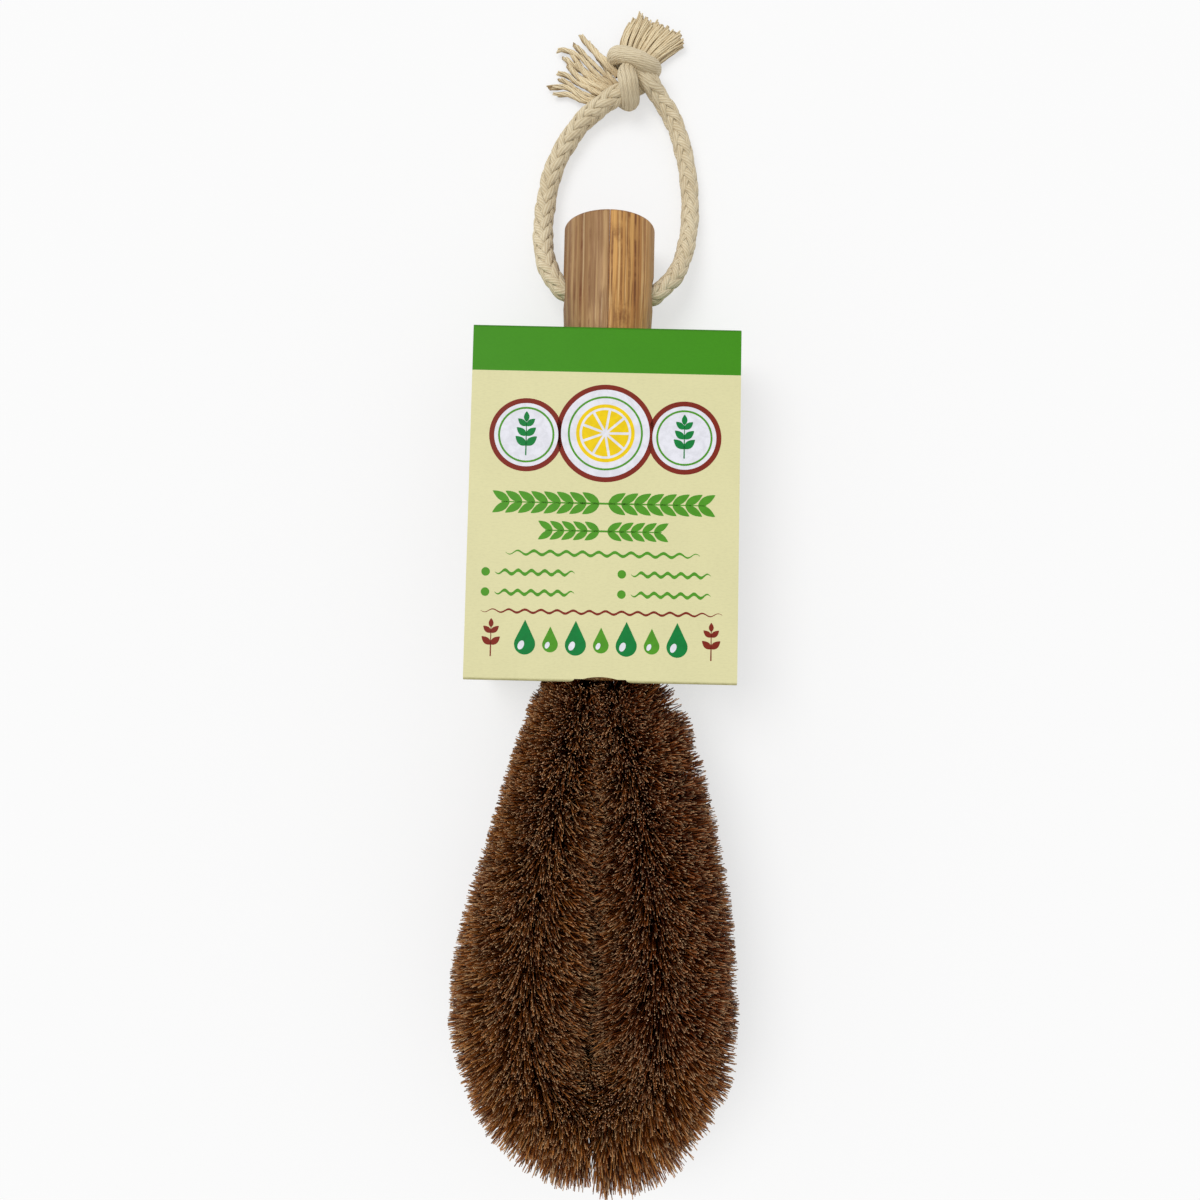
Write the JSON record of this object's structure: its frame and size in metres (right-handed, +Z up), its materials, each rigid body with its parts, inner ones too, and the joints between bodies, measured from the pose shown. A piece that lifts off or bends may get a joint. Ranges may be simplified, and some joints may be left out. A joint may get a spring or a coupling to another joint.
{
  "type": "dish brush",
  "caption": "Dish brush with a round wooden handle, a looped twisted-wire head of natural bristles, a folded card sleeve and a knotted cotton hanging cord.",
  "frame": {"origin": "on the table, under the middle of the brush without its cord", "axes": "+Y along the brush to the hanging end of the handle, +Z up from the table, +X to the right of the printed front"},
  "size_m": [0.0766, 0.3259, 0.0434],
  "materials": {
    "wood_pale": "unvarnished, greyer stave with fine grain along the handle",
    "wood_warm": "unvarnished, warmer stave with dark streaks along the handle",
    "galvanised_wire": "dull galvanised wire",
    "palm_fibre": "stiff dark brown plant fibre with golden strands and pale cut tips",
    "printed_card": "coated card, cream with a green band, grey-white inside",
    "cotton_cord": "braided natural cotton",
    "cotton_yarn": "loose cotton yarn"
  },
  "bodies": {
    "handle": {"handle_stave_left": "wood_pale", "handle_stave_right": "wood_warm", "wire_strand_a": "galvanised_wire", "wire_strand_b": "galvanised_wire", "bristles_left_1": "palm_fibre", "bristles_left_2": "palm_fibre", "bristles_left_3": "palm_fibre", "bristles_left_4": "palm_fibre", "bristles_left_5": "palm_fibre", "bristles_left_6": "palm_fibre", "bristles_right_1": "palm_fibre", "bristles_right_2": "palm_fibre", "bristles_right_3": "palm_fibre", "bristles_right_4": "palm_fibre", "bristles_right_5": "palm_fibre", "bristles_right_6": "palm_fibre"},
    "sleeve": {"card_sleeve": "printed_card"},
    "cord_loop": {"hanging_cord": "cotton_cord", "frayed_end_left": "cotton_yarn", "frayed_end_right": "cotton_yarn"}
  },
  "joints": [
    {"name": "sleeve_slide", "type": "slide", "parent": "handle", "child": "sleeve", "axis": [0, 0.9991, -0.0422], "range_m": [0, 0.009]},
    {"name": "cord_swing", "type": "hinge", "parent": "handle", "child": "cord_loop", "pos_m": [0, 0.11056, 0.01323], "axis": [1, 0, 0], "range_deg": [-65, 95]}
  ]
}
